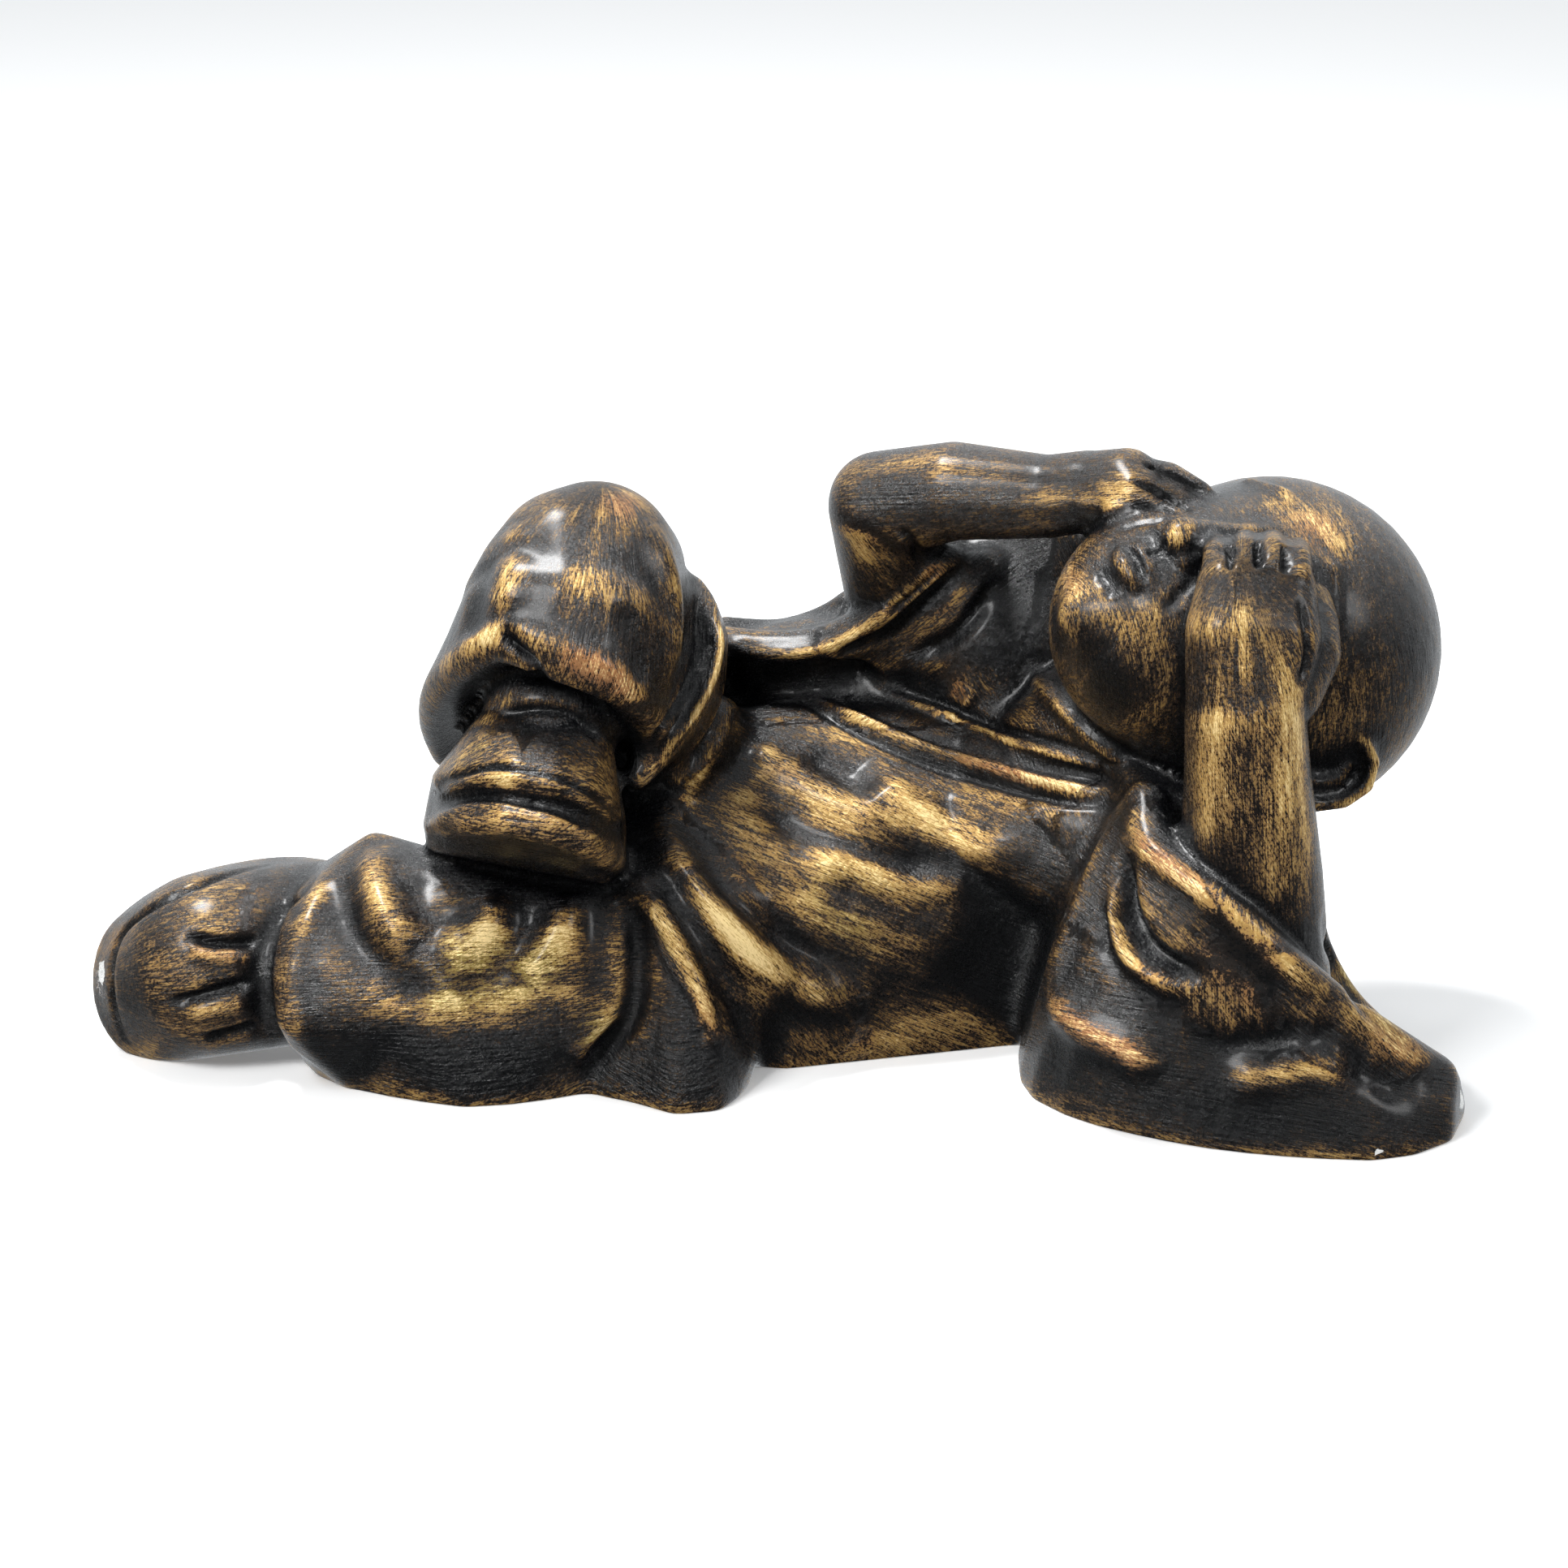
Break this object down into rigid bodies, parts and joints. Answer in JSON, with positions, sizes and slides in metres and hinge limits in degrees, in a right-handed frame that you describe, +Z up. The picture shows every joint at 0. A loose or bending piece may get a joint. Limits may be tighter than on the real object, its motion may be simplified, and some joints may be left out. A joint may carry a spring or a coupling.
{
  "type": "reclining monk statue",
  "caption": "Cast garden figure of a monk lying on its back, knee raised and hands laid over the eyes, black with dry-brushed gold.",
  "frame": {"origin": "middle of the figure's box, on the floor it lies on", "axes": "+X towards the head, +Z up, -Y the side the figure is seen from"},
  "size_m": [0.6222, 0.2836, 0.2785],
  "materials": {
    "bronzed_patina": "charcoal black paint, dry-brushed gold and copper on the high spots, semi-gloss"
  },
  "bodies": {
    "root": {"reclining_monk": "bronzed_patina"}
  },
  "joints": []
}
